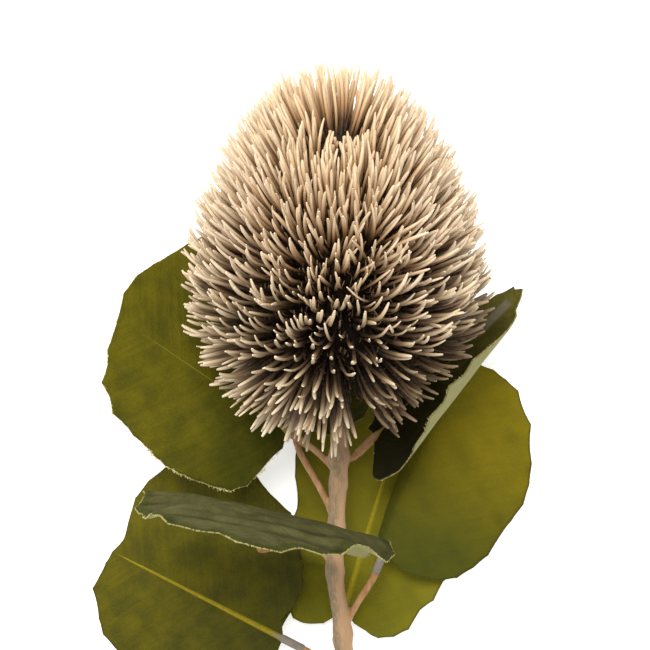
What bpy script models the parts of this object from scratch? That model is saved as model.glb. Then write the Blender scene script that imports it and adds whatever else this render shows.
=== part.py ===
# Stem of an imitation banksia, lying down: a bristly flower head, eight round toothed
# fabric leaves and a branching stem. Metres, +Z up. The stem's cut end points to -Y, the
# head lies at +Y with its top leaning up, and the origin is under the middle of the box
# that the whole stem fills. Lengths below are in millimetres and angles in degrees.

import math

import bmesh
import bpy
import numpy as np
from mathutils import Matrix, Vector

MM = 0.001

# Where the middle of the box lies, seen from the head's widest level
BOX_MIDDLE = (-8.9, -43.2)

# Flower head: an ovoid core covered with florets
HEAD_CENTRE = (0.0, 0.0, 51.0)
HEAD_TILT = 28.0
CORE_RADIUS = 25.0
CORE_TOP = 57.0
CORE_BOTTOM = 27.0
CORE_POINTS = 482
CRATER_ANGLE = 76.0
SEAT_ANGLE = -76.0
FLORET_LENGTH = 27.0
FLORET_TOP_LENGTH = 21.0
FLORET_HOOK = 27.0
FLORET_LOWEST = -66.0
FLORET_BEND = 16.0
FLORET_WAIST = 0.42
FLORET_WAIST_AT = 0.38
FLORET_UNDER_HEAD = 0.72
PRESSED_FROM = 14.0
PRESSED_TO = 6.4

# Leaves
BLADE = 0.8
RIB_RAISE = 0.45
RIB_WIDTH = 1.2
RIB_RAISE_LOST = 0.7
RIB_WIDTH_LOST = 0.6
RIB_CROWDING = 1.4
SLEEVE_FLARE = 2.0
SLEEVE_LENGTH = 8.0
SLEEVE_RADIUS = 1.45
TEETH = 10
ROWS = 2 * TEETH
STEPS = (0.55, 1.0)
CURLED_STEPS = (0.35, 0.7, 1.0)
CURLED_FROM = 60.0
TOOTH_DEPTH = 0.034
NOTCH = 0.13
FULL_HALF = 30.0
DENT_SPREAD = 0.12
CREASE = 3.0
NO_DENT = (1, 0.5, 0.0)
ON_TABLE = BLADE / 2

# Stem
STEM_RADIUS_CUT = 3.1
STEM_RADIUS_TOP = 2.5
STEM_SIDES = 12
PETIOLE_RADIUS = 1.25
PETIOLE_SIDES = 8
PETIOLE_SPANS = 6
PETIOLE_EASE = 0.3
SEAT_GAP = 0.3
STEM_ROUTE = (
    (3.0, -158.5, 3.5),
    (2.4, -119.4, 10.8),
    (1.2, -96.7, 15.6),
    (0.0, -75.9, 19.8),
    (0.6, -58.8, 23.3),
    (1.2, -40.5, 28.6),
)

# Each leaf: base of the blade, heading of its midrib seen from above, pitch, roll, length
# from base to tip, lobe behind the base, bend along the midrib and twist about it, then for
# each half its width, fold at the rib and curl across, then the waves of the margin (height,
# count, shift), where its petiole leaves the stem (distance along Y), how low the blade may
# reach, and for two of them a dent in the margin (half, place from base 0 to tip 1, depth)
LEAVES = {
    "leaf_upper_left": dict(
        base=(-16.4, -47.5, 23.5), heading=146, pitch=6, roll=8, length=70, lobe=3, bend=6, twist=-14,
        left=(38, 8, 8), right=(48, -32, -4), wave=(1.2, 3, 20), joint=-76, rest=6.0),
    "leaf_under_head_left": dict(
        base=(-14.5, -45.6, 10.5), heading=101, pitch=-30, roll=0, length=79, lobe=11, bend=14, twist=0,
        left=(38, 0, 0), right=(41, 0, 0), wave=(0.0, 3, 0), joint=-61, rest=ON_TABLE),
    "leaf_under_head_right": dict(
        base=(-1.5, -15.0, 4.2), heading=76, pitch=-8, roll=0, length=75, lobe=3, bend=14, twist=0,
        left=(38, 0, 0), right=(38, 0, 4), wave=(0.0, 3, 0), joint=-58, rest=1.6),
    "leaf_folded_right": dict(
        base=(16.8, -48.4, 18.5), heading=48, pitch=2, roll=0, length=66, lobe=9, bend=12, twist=-28,
        left=(14, -45, 30), right=(37, 41, 55), wave=(0.8, 5, 0), joint=-58, rest=ON_TABLE),
    "leaf_right": dict(
        base=(18.5, -88.4, 15.0), heading=67, pitch=-3, roll=0, length=76, lobe=8, bend=2, twist=0,
        left=(10, -60, -25), right=(36, -12, -4), wave=(0.9, 4, 60), joint=-112, rest=ON_TABLE),
    "leaf_behind_stem": dict(
        base=(2.6, -110.0, 5.0), heading=73, pitch=-3, roll=-2, length=76, lobe=10, bend=2, twist=0,
        left=(34, 0, -2), right=(31, 0, 0), wave=(0.4, 4, 40), joint=-128, rest=ON_TABLE,
        dent=(1, 0.55, 5.5)),
    "leaf_front": dict(
        base=(-25.0, -82.5, 25.0), heading=-102, pitch=123, roll=0, length=74, lobe=3, bend=-60, twist=0,
        left=(44, 0, -16), right=(44, 0, -14), wave=(2.2, 6, 0), joint=-101, rest=ON_TABLE),
    "leaf_lower_left": dict(
        base=(-18.3, -119.0, 10.0), heading=153.5, pitch=-6, roll=0, length=72, lobe=4, bend=2, twist=0,
        left=(34, -10, -14), right=(45, 2, 0), wave=(1.0, 4, 30), joint=-142, rest=ON_TABLE,
        dent=(-1, 0.93, 5.0)),
}

LEAF_COLOURS = {
    "leaf_upper_left": (0.085, 0.095, 0.035),
    "leaf_under_head_left": (0.035, 0.050, 0.020),
    "leaf_under_head_right": (0.030, 0.045, 0.018),
    "leaf_folded_right": (0.030, 0.045, 0.012),
    "leaf_right": (0.160, 0.130, 0.025),
    "leaf_behind_stem": (0.130, 0.125, 0.025),
    "leaf_front": (0.120, 0.130, 0.080),
    "leaf_lower_left": (0.110, 0.105, 0.030),
}


def clear_scene():
    for item in list(bpy.data.objects):
        bpy.data.objects.remove(item, do_unlink=True)


def material(name, colour, roughness):
    mat = bpy.data.materials.new(name)
    mat.use_nodes = True
    shader = mat.node_tree.nodes["Principled BSDF"]
    shader.inputs["Base Color"].default_value = (*colour, 1.0)
    shader.inputs["Roughness"].default_value = roughness
    shader.inputs["Metallic"].default_value = 0.0
    mat.diffuse_color = (*colour, 1.0)
    return mat


def add_object(name, points, faces, mat):
    # Points come in millimetres from the head's widest level and go to metres from the origin
    middle = Vector((*BOX_MIDDLE, 0.0))
    mesh = bpy.data.meshes.new(name)
    mesh.from_pydata([(Vector(p) - middle) * MM for p in points], [], faces)
    mesh.materials.append(mat)
    mesh.update()
    item = bpy.data.objects.new(name, mesh)
    bpy.context.collection.objects.link(item)
    return item


def head_axes():
    tilt = math.radians(HEAD_TILT)
    axis = Vector((0.0, math.cos(tilt), math.sin(tilt)))
    side = Vector((1.0, 0.0, 0.0))
    return axis, side, axis.cross(side)


def core_height(level):
    return (CORE_TOP if level > 0 else CORE_BOTTOM) * math.sin(level)


def core_levels(count):
    # Angles up the ovoid that give each of the points the same share of its surface
    angle = np.linspace(-math.pi / 2, math.pi / 2, 1441)
    height = np.where(angle > 0, CORE_TOP, CORE_BOTTOM)
    slope = np.hypot(CORE_RADIUS * np.sin(angle), height * np.cos(angle))
    area = np.cumsum(CORE_RADIUS * np.cos(angle) * slope)
    shares = (np.arange(count) + 0.5) / count * area[-1]
    return np.interp(shares, area, angle)


def on_head(radius, turn, height):
    axis, side, front = head_axes()
    around = side * math.cos(turn) + front * math.sin(turn)
    return Vector(HEAD_CENTRE) + axis * height + around * radius


def core_points():
    golden = math.pi * (3.0 - math.sqrt(5.0))
    levels = core_levels(CORE_POINTS)
    return [
        on_head(CORE_RADIUS * math.cos(level), i * golden, core_height(level))
        for i, level in enumerate(levels)
    ]


def floret_point(radius, turn, height, reach):
    # A place on a floret's centre line, at a fraction of its length from its root. It leaves
    # about square to the core, leans up towards the head's top and hooks up further.
    tall = CORE_TOP if height > 0 else CORE_BOTTOM
    lift = math.atan2(height / tall**2, radius / CORE_RADIUS**2)
    lean = math.degrees(lift) + FLORET_HOOK * math.cos(lift) ** 2
    lean = max(lean, FLORET_LOWEST)
    towards_top = max(0.0, height / CORE_TOP)
    length = FLORET_LENGTH + (FLORET_TOP_LENGTH - FLORET_LENGTH) * towards_top**1.5
    bend = FLORET_BEND * math.cos(lift) ** 2
    angle = math.radians(lean + bend * (reach - 0.5))
    root = on_head(radius, turn, height)
    run = on_head(radius + math.cos(angle), turn, height + math.sin(angle)) - root
    short = 1.0 - (1.0 - FLORET_UNDER_HEAD) * max(0.0, -run.z) ** 1.5
    return root + run * length * short * reach


def pressed(points):
    # Florets under the head are pressed flat by its weight
    lowest = min(p.z for p in points)
    squeeze = (PRESSED_FROM - PRESSED_TO) / (PRESSED_FROM - lowest)
    for p in points:
        if p.z < PRESSED_FROM:
            p.z = PRESSED_TO + (p.z - lowest) * squeeze
    return points


def flower_head():
    hull = bmesh.new()
    for p in core_points():
        hull.verts.new(p)
    bmesh.ops.convex_hull(hull, input=hull.verts)
    bmesh.ops.recalc_face_normals(hull, faces=hull.faces)
    hull.verts.index_update()
    points = [v.co.copy() for v in hull.verts]
    triangles = [[v.index for v in face.verts] for face in hull.faces]
    hull.free()

    axis, side, front = head_axes()
    crater = core_height(math.radians(CRATER_ANGLE))
    seat = core_height(math.radians(SEAT_ANGLE))
    faces = []
    for root in triangles:
        middle = sum((points[i] for i in root), Vector()) / 3
        out = middle - Vector(HEAD_CENTRE)
        height = out.dot(axis)
        if height > crater or height < seat:
            faces.append(root)
            continue
        radius = math.hypot(out.dot(side), out.dot(front))
        turn = math.atan2(out.dot(front), out.dot(side))
        waist = floret_point(radius, turn, height, FLORET_WAIST_AT)
        first = len(points)
        points += [waist + (points[i] - middle) * FLORET_WAIST for i in root]
        points.append(floret_point(radius, turn, height, 1.0))
        ring = [first, first + 1, first + 2]
        for k in range(3):
            n = (k + 1) % 3
            faces.append([root[k], root[n], ring[n]])
            faces.append([root[k], ring[n], ring[k]])
            faces.append([ring[k], ring[n], first + 3])
    mat = material("floret_cream", (0.62, 0.42, 0.25), 0.55)
    return add_object("flower_head", pressed(points), faces, mat)


def arc(length, start, rate):
    # End of a run that sets off at an angle and turns at a steady rate
    if abs(rate) < 1e-6:
        return length * math.cos(start), length * math.sin(start)
    end = start + rate * length
    return (math.sin(end) - math.sin(start)) / rate, (math.cos(start) - math.cos(end)) / rate


def across(leaf, y):
    # Sideways distance and height of a point of the blade at a distance from the rib
    width, fold, curl = leaf["left"] if y > 0 else leaf["right"]
    fold, curl = math.radians(fold), math.radians(curl)
    distance = abs(y)
    side, up = arc(min(distance, CREASE), 0.0, fold / CREASE)
    if distance > CREASE:
        beyond, higher = arc(distance - CREASE, fold, curl / width)
        side, up = side + beyond, up + higher
    return math.copysign(side, y), up


def margin(leaf, u, side):
    # Flat outline: an oval from the notch at the base (u = 0) to the tip (u = 1), with
    # shallow scallops between its teeth
    width = leaf["left"][0] if side > 0 else leaf["right"][0]
    length, lobe = leaf["length"], leaf["lobe"] * min(1.0, width / FULL_HALF)
    angle = math.pi * (1.0 - u)
    dent_side, place, depth = leaf.get("dent", NO_DENT)
    dent = depth / width * math.exp(-(((u - place) / DENT_SPREAD) ** 2)) if side == dent_side else 0.0
    scallop = 1.0 - dent - TOOTH_DEPTH * abs(math.sin(math.pi * u * TEETH))
    notch = lobe * max(0.0, 1.0 - u / NOTCH) ** 1.5
    x = (length - lobe) / 2 + (length + lobe) / 2 * math.cos(angle) * scallop + notch
    return x, side * width * math.sin(angle) * scallop


def leaf_turn(leaf):
    heading = Matrix.Rotation(math.radians(leaf["heading"]), 3, "Z")
    pitch = Matrix.Rotation(math.radians(-leaf["pitch"]), 3, "Y")
    return heading @ pitch @ Matrix.Rotation(math.radians(leaf["roll"]), 3, "X")


def blade_point(leaf, turn, x, y):
    # Middle of the blade's thickness above a point of its flat outline
    bend = math.radians(leaf["bend"]) / leaf["length"]
    along, rise = arc(x, 0.0, bend)
    side, up = across(leaf, y)
    width = leaf["left"][0] if y > 0 else leaf["right"][0]
    height, count, shift = leaf["wave"]
    round_it = math.atan2(y, x - leaf["length"] / 2)
    up += height * (y / width) ** 2 * math.sin(count * round_it + math.radians(shift))
    twist = math.radians(leaf["twist"]) * x / leaf["length"]
    side, up = (side * math.cos(twist) - up * math.sin(twist),
                side * math.sin(twist) + up * math.cos(twist))
    angle = bend * x
    local = Vector((along - up * math.sin(angle), side, rise + up * math.cos(angle)))
    point = Vector(leaf["base"]) + turn @ local
    point.z = max(point.z, leaf["rest"])
    return point


def blade_normal(leaf, turn, x, y):
    step = 0.3
    ahead = blade_point(leaf, turn, x + step, y) - blade_point(leaf, turn, x - step, y)
    beside = blade_point(leaf, turn, x, y + step) - blade_point(leaf, turn, x, y - step)
    return ahead.cross(beside).normalized()


def blade_points(shape, turn, steps):
    # Rows run from the rib to the margin, two for each tooth: rib top, rib side, steps, margin.
    # A key holds the row, the half (1 or -1, 0 on the rib) and the place in the row.
    points, top, bottom = [], {}, {}

    def add(key, x, y, raised=0.0):
        normal = blade_normal(shape, turn, x, y)
        middle = blade_point(shape, turn, x, y)
        top[key] = len(points)
        points.append(middle + normal * (BLADE / 2 + raised))
        bottom[key] = len(points)
        points.append(middle - normal * (BLADE / 2))

    add((0, 0, 0), 0.0, 0.0, RIB_RAISE)
    for side in (1, -1):
        add((0, side, 1), 0.0, side * RIB_WIDTH)
    for i in range(1, ROWS):
        u = i / ROWS
        rib_x = shape["length"] * u**RIB_CROWDING
        add((i, 0, 0), rib_x, 0.0, RIB_RAISE * (1 - RIB_RAISE_LOST * u))
        for side in (1, -1):
            rib_y = side * RIB_WIDTH * (1 - RIB_WIDTH_LOST * u)
            edge_x, edge_y = margin(shape, u, side)
            for k, step in enumerate((0.0, *steps)):
                add((i, side, k + 1), rib_x + (edge_x - rib_x) * step, rib_y + (edge_y - rib_y) * step)
    add((ROWS, 0, 0), margin(shape, 1.0, 1)[0], 0.0)
    return points, top, bottom


def blade_faces(top, bottom, last):
    # The same triangles on both faces of the blade, turned outwards, and a wall round its rim
    faces = []

    def skin(keys, side):
        faces.append([top[k] for k in keys][::-side])
        faces.append([bottom[k] for k in keys][::side])

    tip = (ROWS, 0, 0)
    for side in (1, -1):
        for i in range(ROWS):
            for k in range(last):
                near, far = (i, side * (k > 0), k), (i, side, k + 1)
                near_next, far_next = (i + 1, side * (k > 0), k), (i + 1, side, k + 1)
                if i == ROWS - 1:
                    skin((near, tip, far), side)
                elif i == 0 and k > 0:
                    skin(((0, side, 1), near_next, far_next), side)
                else:
                    skin((near, near_next, far_next), side)
                    skin((near, far_next, far), side)
        rim = [(0, side, 1)] + [(i, side, last) for i in range(1, ROWS)] + [tip]
        for a, b in zip(rim, rim[1:]):
            faces.append([top[a], bottom[a], bottom[b]][::side])
            faces.append([top[a], bottom[b], top[b]][::side])
    return faces


def add_sleeve(shape, turn, ring, points, faces):
    # Six-sided sleeve that holds the petiole, grown back from the blade's notch
    start, ahead = Vector(shape["base"]), turn @ Vector((1, 0, 0))
    up, left = turn @ Vector((0, 0, 1)), turn @ Vector((0, 1, 0))
    for back in (SLEEVE_FLARE, SLEEVE_LENGTH):
        first = len(points)
        for k in range(6):
            angle = math.radians(60 * k)
            out = up * math.cos(angle) + left * math.sin(angle)
            points.append(start - ahead * back + out * SLEEVE_RADIUS)
        fresh = list(range(first, first + 6))
        for k in range(6):
            n = (k + 1) % 6
            faces.append([ring[k], ring[n], fresh[n]])
            faces.append([ring[k], fresh[n], fresh[k]])
        ring = fresh
    faces.append(ring)


def leaf(name):
    shape = LEAVES[name]
    turn = leaf_turn(shape)
    curled = max(abs(shape["left"][2]), abs(shape["right"][2])) > CURLED_FROM
    steps = CURLED_STEPS if curled else STEPS
    points, top, bottom = blade_points(shape, turn, steps)
    faces = blade_faces(top, bottom, len(steps) + 1)
    rib, left, right = (0, 0, 0), (0, 1, 1), (0, -1, 1)
    ring = [top[rib], top[left], bottom[left], bottom[rib], bottom[right], top[right]]
    add_sleeve(shape, turn, ring, points, faces)
    mat = material(name + "_fabric", LEAF_COLOURS[name], 0.7)
    item = add_object(name, points, faces, mat)
    tidy_normals(item)
    return item


def tidy_normals(item):
    shape = bmesh.new()
    shape.from_mesh(item.data)
    bmesh.ops.recalc_face_normals(shape, faces=shape.faces)
    bmesh.ops.triangulate(shape, faces=shape.faces)
    shape.to_mesh(item.data)
    shape.free()


def smooth_route(knots, spans):
    # Catmull-Rom curve through the knots, with a number of steps in each span
    knots = [Vector(k) for k in knots]
    ends = [knots[0] * 2 - knots[1], *knots, knots[-1] * 2 - knots[-2]]
    route = []
    for a, b, c, d in zip(ends, ends[1:], ends[2:], ends[3:]):
        for step in range(spans):
            t = step / spans
            route.append((b * 2 + (c - a) * t + (a * 2 - b * 5 + c * 4 - d) * t**2
                          + (b * 3 - a - c * 3 + d) * t**3) / 2)
    return route + [knots[-1]]


def tube(name, route, radii, sides, mat):
    points, faces = [], []
    up = Vector((0.0, 0.0, 1.0))
    for i, centre in enumerate(route):
        ahead = (route[min(i + 1, len(route) - 1)] - route[max(i - 1, 0)]).normalized()
        side = ahead.cross(up).normalized()
        over = side.cross(ahead)
        for k in range(sides):
            angle = 2 * math.pi * k / sides
            points.append(centre + (side * math.cos(angle) + over * math.sin(angle)) * radii[i])
    for i in range(len(route) - 1):
        for k in range(sides):
            a, b = i * sides + k, i * sides + (k + 1) % sides
            faces.append([a, b, b + sides, a + sides])
    faces.append(list(range(sides)))
    faces.append(list(range(len(points) - sides, len(points))))
    item = add_object(name, points, faces, mat)
    tidy_normals(item)
    return item


def stem_route():
    axis = head_axes()[0]
    top = Vector(HEAD_CENTRE) - axis * (CORE_BOTTOM + SEAT_GAP)
    return smooth_route([*STEM_ROUTE, top], 3)


def petiole_route(shape, stem):
    # From the middle of the stem to the end of the leaf's sleeve, leaving along the stem
    ahead = leaf_turn(shape) @ Vector((1, 0, 0))
    last = Vector(shape["base"]) - ahead * (SLEEVE_LENGTH + SEAT_GAP)
    end = last - ahead * PETIOLE_RADIUS
    near = min(range(1, len(stem) - 1), key=lambda i: abs(stem[i].y - shape["joint"]))
    start = stem[near]
    along = (stem[near + 1] - stem[near - 1]).normalized()
    reach = (end - start).length * PETIOLE_EASE
    a, b = start + along * reach, end - ahead * reach
    route = []
    for step in range(PETIOLE_SPANS + 1):
        t = step / PETIOLE_SPANS
        route.append(start * (1 - t) ** 3 + a * 3 * t * (1 - t) ** 2
                     + b * 3 * t**2 * (1 - t) + end * t**3)
    return [*route, last]


def stem():
    mat = material("stem_tan", (0.42, 0.24, 0.14), 0.6)
    route = stem_route()
    count = len(route)
    radii = [STEM_RADIUS_CUT + (STEM_RADIUS_TOP - STEM_RADIUS_CUT) * i / (count - 1)
             for i in range(count)]
    main = tube("stem", route, radii, STEM_SIDES, mat)
    twigs = bpy.data.collections.new("petioles")
    bpy.context.scene.collection.children.link(twigs)
    for name, shape in LEAVES.items():
        path = petiole_route(shape, route)
        twig = tube("petiole_" + name, path, [PETIOLE_RADIUS] * len(path), PETIOLE_SIDES, mat)
        bpy.context.collection.objects.unlink(twig)
        twigs.objects.link(twig)
    union = main.modifiers.new("join", "BOOLEAN")
    union.operation = "UNION"
    union.operand_type = "COLLECTION"
    union.collection = twigs
    union.solver = "EXACT"
    graph = bpy.context.evaluated_depsgraph_get()
    joined = bpy.data.meshes.new_from_object(main.evaluated_get(graph))
    main.modifiers.clear()
    main.data = joined
    for twig in list(twigs.objects):
        bpy.data.objects.remove(twig, do_unlink=True)
    bpy.data.collections.remove(twigs)
    main.data.shade_smooth()
    main.data.set_sharp_from_angle(angle=math.radians(50))
    return main


def main():
    clear_scene()
    flower_head()
    for name in LEAVES:
        leaf(name)
    stem()


main()
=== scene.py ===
import math

import bmesh
import bpy
import numpy as np
from mathutils import Matrix, Vector


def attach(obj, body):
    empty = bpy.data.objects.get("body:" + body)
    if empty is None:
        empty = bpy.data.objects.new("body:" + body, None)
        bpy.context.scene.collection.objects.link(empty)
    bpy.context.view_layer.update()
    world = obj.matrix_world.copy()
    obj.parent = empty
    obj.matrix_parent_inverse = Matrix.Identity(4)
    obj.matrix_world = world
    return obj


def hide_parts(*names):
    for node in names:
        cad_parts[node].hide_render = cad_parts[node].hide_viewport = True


# Looks of an imitation banksia stem that lies on a table. Lengths are in millimetres and
# angles in degrees, measured from the head's widest level, until placed() turns them into
# metres from the frame's origin.

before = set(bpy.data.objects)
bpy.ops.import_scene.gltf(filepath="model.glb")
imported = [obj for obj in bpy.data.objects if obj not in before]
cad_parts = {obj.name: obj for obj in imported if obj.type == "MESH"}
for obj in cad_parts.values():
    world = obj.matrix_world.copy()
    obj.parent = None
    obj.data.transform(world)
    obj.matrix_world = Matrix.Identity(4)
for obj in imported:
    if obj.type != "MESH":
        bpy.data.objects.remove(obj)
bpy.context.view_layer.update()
print("frame loaded:", len(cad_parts), "nodes")

mm = 0.001
boxMiddle = (-8.9, -43.2)  # middle of the frame's box, seen from the head's widest level


def placed(points):
    # From millimetres to metres, and from the head's widest level to the frame's origin
    return (np.asarray(points, float) - (*boxMiddle, 0.0)) * mm


# Nodes written as Python sums

class Wire:
    # A socket of a node tree that Python's operators work on
    def __init__(self, graph, socket):
        self.graph, self.socket = graph, socket

    def out(self, name):
        # Another output of the same node
        return Wire(self.graph, self.graph.find(self.socket.node.outputs, name))

    def __add__(self, other):
        return maths("ADD", self, other)

    def __radd__(self, other):
        return maths("ADD", other, self)

    def __sub__(self, other):
        return maths("SUBTRACT", self, other)

    def __rsub__(self, other):
        return maths("SUBTRACT", other, self)

    def __mul__(self, other):
        return maths("MULTIPLY", self, other)

    def __rmul__(self, other):
        return maths("MULTIPLY", other, self)

    def __truediv__(self, other):
        return maths("DIVIDE", self, other)

    def __rtruediv__(self, other):
        return maths("DIVIDE", other, self)

    def __pow__(self, other):
        return maths("POWER", self, other)

    def __lt__(self, other):
        return maths("LESS_THAN", self, other)

    def __gt__(self, other):
        return maths("GREATER_THAN", self, other)

    def __abs__(self):
        return maths("ABSOLUTE", self)


def isVector(value):
    return value.socket.type in ("VECTOR", "RGBA") if isinstance(value, Wire) else isinstance(value, tuple)


def maths(operation, *values):
    graph = next(v.graph for v in values if isinstance(v, Wire))
    if not any(isVector(v) for v in values):
        return graph.add("ShaderNodeMath", {"operation": operation}, dict(enumerate(values)))
    if operation == "MULTIPLY" and not all(isVector(v) for v in values):
        vector, factor = sorted(values, key=isVector, reverse=True)
        return graph.add("ShaderNodeVectorMath", {"operation": "SCALE"}, {0: vector, "Scale": factor})
    return graph.add("ShaderNodeVectorMath", {"operation": operation}, dict(enumerate(values)))


def dot(a, b):
    return maths("DOT_PRODUCT", a, b)


def cosine(angle):
    return maths("COSINE", angle)


def sine(angle):
    return maths("SINE", angle)


class Graph:
    # A node tree: add() puts a node of any kind in it and gives its first output
    def __init__(self, tree):
        self.tree = tree

    def add(self, kind, settings=None, values=None):
        # Settings come first, because they decide which sockets a node has
        node = self.tree.nodes.new(kind)
        for name, value in (settings or {}).items():
            if name == "stops":
                self.setStops(node.color_ramp, value)
            else:
                setattr(node, name, value)
        for key, value in (values or {}).items():
            socket = node.inputs[key] if isinstance(key, int) else self.find(node.inputs, key)
            self.feed(socket, value)
        ready = [s for s in node.outputs if s.enabled]
        return Wire(self, ready[0] if ready else node.inputs[0])

    def find(self, sockets, name):
        return next(s for s in sockets if s.enabled and s.name == name)

    def feed(self, socket, value):
        if isinstance(value, Wire):
            self.tree.links.new(value.socket, socket)
        else:
            socket.default_value = value

    def setStops(self, ramp, stops):
        while len(ramp.elements) < len(stops):
            ramp.elements.new(1.0)
        for element, (place, colour) in zip(ramp.elements, stops):
            element.position, element.color = place, (*colour, 1.0)

    def blend(self, factor, a, b):
        # A mix of two colours
        a, b = [(*c, 1.0) if isinstance(c, tuple) and len(c) == 3 else c for c in (a, b)]
        values = {"Factor": factor, "A": a, "B": b}
        return self.add("ShaderNodeMix", {"data_type": "RGBA", "clamp_factor": True}, values)

    def ease(self, value, low, high, start=0.0, end=1.0):
        # A smooth step of value from low to high, mapped to start and end
        values = {"Value": value, "From Min": low, "From Max": high, "To Min": start, "To Max": end}
        return self.add("ShaderNodeMapRange", {"interpolation_type": "SMOOTHSTEP"}, values)

    def noise(self, vector, scale, detail=2.0, roughness=0.5):
        values = {"Vector": vector, "Scale": scale, "Detail": detail, "Roughness": roughness}
        return self.add("ShaderNodeTexNoise", None, values)


def newFinish(name, constants):
    # A material whose Principled shader has these values, and the graph to add to it
    material = bpy.data.materials.new(name)
    material.use_nodes = True
    shader = material.node_tree.nodes["Principled BSDF"]
    for key, value in constants.items():
        shader.inputs[key].default_value = value
    return material, Graph(material.node_tree), shader


def attribute(graph, name):
    return graph.add("ShaderNodeAttribute", {"attribute_name": name}).out("Fac")


def surfacePlace(graph):
    # The place on a piece, in millimetres
    return graph.add("ShaderNodeTexCoord").out("Object") * (1 / mm)


def newGeometryTree(name, sockets):
    # A Geometry Nodes tree with named inputs: (name, kind, value)
    tree = bpy.data.node_groups.new(name, "GeometryNodeTree")
    tree.is_modifier = True
    tree.interface.new_socket(name="Geometry", in_out="OUTPUT", socket_type="NodeSocketGeometry")
    tree.interface.new_socket(name="Geometry", in_out="INPUT", socket_type="NodeSocketGeometry")
    for label, kind, value in sockets:
        made = tree.interface.new_socket(name=label, in_out="INPUT", socket_type="NodeSocket" + kind)
        if value is not None:
            made.default_value = value
    graph = Graph(tree)
    return graph, graph.add("NodeGroupInput")


def field(graph, name, kind="FLOAT"):
    return graph.add("GeometryNodeInputNamedAttribute", {"data_type": kind}, {"Name": name})


def stored(graph, geometry, name, value, kind="FLOAT"):
    settings = {"data_type": kind, "domain": "POINT"}
    return graph.add("GeometryNodeStoreNamedAttribute", settings,
                     {"Geometry": geometry, "Name": name, "Value": value})


def chance(graph, number, seed, low=0.0, high=1.0):
    # A random number for each piece, by its number
    return graph.add("FunctionNodeRandomValue", {"data_type": "FLOAT"},
                     {"Min": low, "Max": high, "ID": number, "Seed": seed})


def strands(graph, roots, count):
    # A curve of so many points on each root, still to be laid in its place
    line = graph.add("GeometryNodeCurvePrimitiveLine", {"mode": "POINTS"}, {"End": (0.0, 0.0, mm)})
    line = graph.add("GeometryNodeResampleCurve", {"mode": "COUNT"}, {"Curve": line, "Count": count})
    curves = graph.add("GeometryNodeInstanceOnPoints", None, {"Points": roots, "Instance": line})
    return graph.add("GeometryNodeRealizeInstances", None, {"Geometry": curves})


def sweep(graph, curves, radius, sides, flatness):
    # Gives curves a flat section and closed ends
    circle = graph.add("GeometryNodeCurvePrimitiveCircle", {"mode": "RADIUS"},
                       {"Resolution": sides, "Radius": 1.0})
    squash = graph.add("ShaderNodeCombineXYZ", None, {"X": 1.0, "Y": flatness, "Z": 1.0})
    section = graph.add("GeometryNodeTransform", None, {"Geometry": circle, "Scale": squash})
    return graph.add("GeometryNodeCurveToMesh", None,
                     {"Curve": curves, "Profile Curve": section, "Scale": radius, "Fill Caps": True})


def finishTree(graph, geometry, material):
    whole = graph.add("GeometryNodeRealizeInstances", None, {"Geometry": geometry})
    painted = graph.add("GeometryNodeSetMaterial", None, {"Geometry": whole, "Material": material})
    smooth = graph.add("GeometryNodeSetShadeSmooth", None, {"Geometry": painted})
    graph.add("NodeGroupOutput", None, {"Geometry": smooth})


def linked(name, data):
    # A new object in the scene
    item = bpy.data.objects.new(name, data)
    bpy.context.scene.collection.objects.link(item)
    return item


def grown(name, source, tree, dials):
    # Runs a Geometry Nodes tree on an object and leaves its result as a plain mesh
    modifier = source.modifiers.new(name, "NODES")
    modifier.node_group = tree
    for item in tree.interface.items_tree:
        if item.in_out == "INPUT" and item.name in dials:
            modifier[item.identifier] = dials[item.name]
    graph = bpy.context.evaluated_depsgraph_get()
    mesh = bpy.data.meshes.new_from_object(source.evaluated_get(graph))
    mesh.name = name
    bpy.data.objects.remove(source, do_unlink=True)
    return linked(name, mesh)


def addMesh(name, points, faces, material=None):
    mesh = bpy.data.meshes.new(name)
    mesh.from_pydata(placed(points).tolist(), [], [list(map(int, f)) for f in faces])
    if material:
        mesh.materials.append(material)
    return linked(name, mesh)


def setField(mesh, name, values):
    made = mesh.attributes.new(name, "FLOAT", "POINT")
    made.data.foreach_set("value", np.asarray(values, np.float32))


def squared(piece, doubles=0.0):
    # Merges points that are closer than this, in metres, and turns the faces outwards
    shape = bmesh.new()
    shape.from_mesh(piece.data)
    if doubles:
        bmesh.ops.remove_doubles(shape, verts=shape.verts, dist=doubles)
    bmesh.ops.recalc_face_normals(shape, faces=shape.faces)
    shape.to_mesh(piece.data)
    shape.free()
    return piece


def handOver(piece, nodes, slot):
    # Gives a finished piece to the frame
    piece.data.shade_smooth()
    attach(piece, "root")
    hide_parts(*nodes)
    triangles = sum(len(p.vertices) - 2 for p in piece.data.polygons)
    print("  ", piece.name, triangles, "triangles")


# Flower head: a dark core and the bristles that stand out of it

head = {
    "centre": (0.0, 0.0, 51.0),
    "tilt": 28.0,  # how far the top leans up from the table
    "radius": 25.0,
    "top": 57.0,
    "bottom": 27.0,
    "craterShift": 9.5,  # how far the crater lies from the axis, towards the upper side
    "craterRadius": 6.2,
    "craterDip": 5.0,
    "craterFrom": 36.0,  # height on the axis from which the crater may cut bristles away
    "axisShift": 4.0,  # how far the axis that the bristles stand around bends that way
    "seat": -76.0,  # level on the core, as an angle, below which nothing grows
    "length": 27.0,
    "topLength": 21.0,
    "lowest": -66.0,  # furthest that a bristle leans down
    "tipBend": 8.0,  # how much further up it leans at its tip
    "underHead": 0.72,  # share of the length left where the head presses on its leaf
    "pressedFrom": 14.0,  # height over the table below which bristles are pressed together
    "pressedTo": 6.6,  # and the height that the lowest ones keep
}
tilt = math.radians(head["tilt"])
headAxis = (0.0, math.cos(tilt), math.sin(tilt))
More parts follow.
